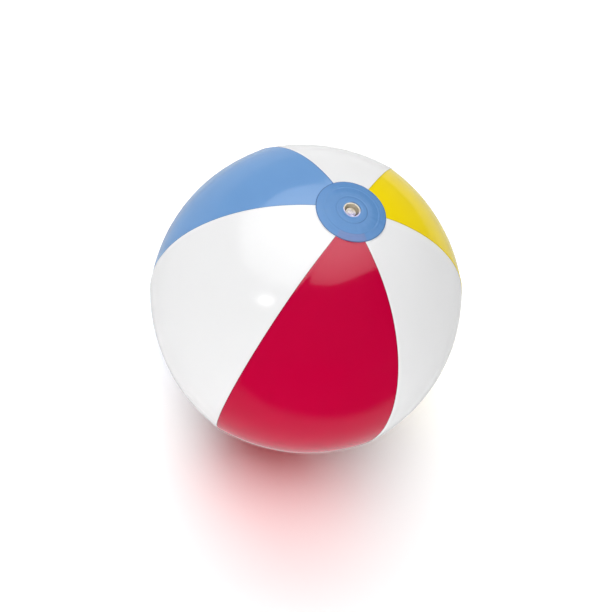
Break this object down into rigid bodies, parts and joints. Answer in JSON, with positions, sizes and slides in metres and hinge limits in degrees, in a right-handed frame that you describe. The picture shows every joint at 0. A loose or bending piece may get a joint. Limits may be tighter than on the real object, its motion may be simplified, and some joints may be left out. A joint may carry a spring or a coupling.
{
  "type": "inflatable beach ball",
  "caption": "Inflated beach ball of coloured and white lune panels with a round patch at each pole and a push-in air valve with a tethered plug.",
  "frame": {"origin": "centre of the ball", "axes": "+Z along the polar axis, out through the middle of the valve; -Y out through the middle of the red panel; +X completes the right-handed frame"},
  "size_m": [0.3884, 0.388, 0.3877],
  "materials": {
    "film_red": "glossy soft vinyl film",
    "film_blue": "glossy soft vinyl film",
    "film_yellow": "glossy soft vinyl film",
    "film_white": "glossy soft vinyl film",
    "patch_blue": "glossy translucent vinyl film",
    "valve_clear": "clear soft vinyl moulding"
  },
  "bodies": {
    "ball": {"gore_red": "film_red", "gore_white_right": "film_white", "gore_yellow": "film_yellow", "gore_white_back": "film_white", "gore_blue": "film_blue", "gore_white_left": "film_white", "valve_end_patch": "patch_blue", "base_patch": "patch_blue", "valve_flange": "valve_clear", "valve_rolling_wall": "valve_clear"},
    "stem": {"valve_stem": "valve_clear"},
    "plug": {"valve_plug": "valve_clear", "plug_tether": "valve_clear"},
    "flap": {"check_flap": "valve_clear"}
  },
  "joints": [
    {"name": "valve_pull", "type": "slide", "parent": "ball", "child": "stem", "axis": [0, 0, 1], "range_m": [0, 0.016], "deforming": ["valve_rolling_wall"]},
    {"name": "plug_swing", "type": "hinge", "parent": "stem", "child": "plug", "pos_m": [0, -0.0064, 0.18925], "axis": [1, 0, 0], "range_deg": [0, 90]},
    {"name": "flap_swing", "type": "hinge", "parent": "stem", "child": "flap", "pos_m": [0, 0.0049, 0.1742], "axis": [1, 0, 0], "range_deg": [0, 60], "stiffness_Nm_per_rad": 0.00002, "springref_deg": -20.05}
  ]
}
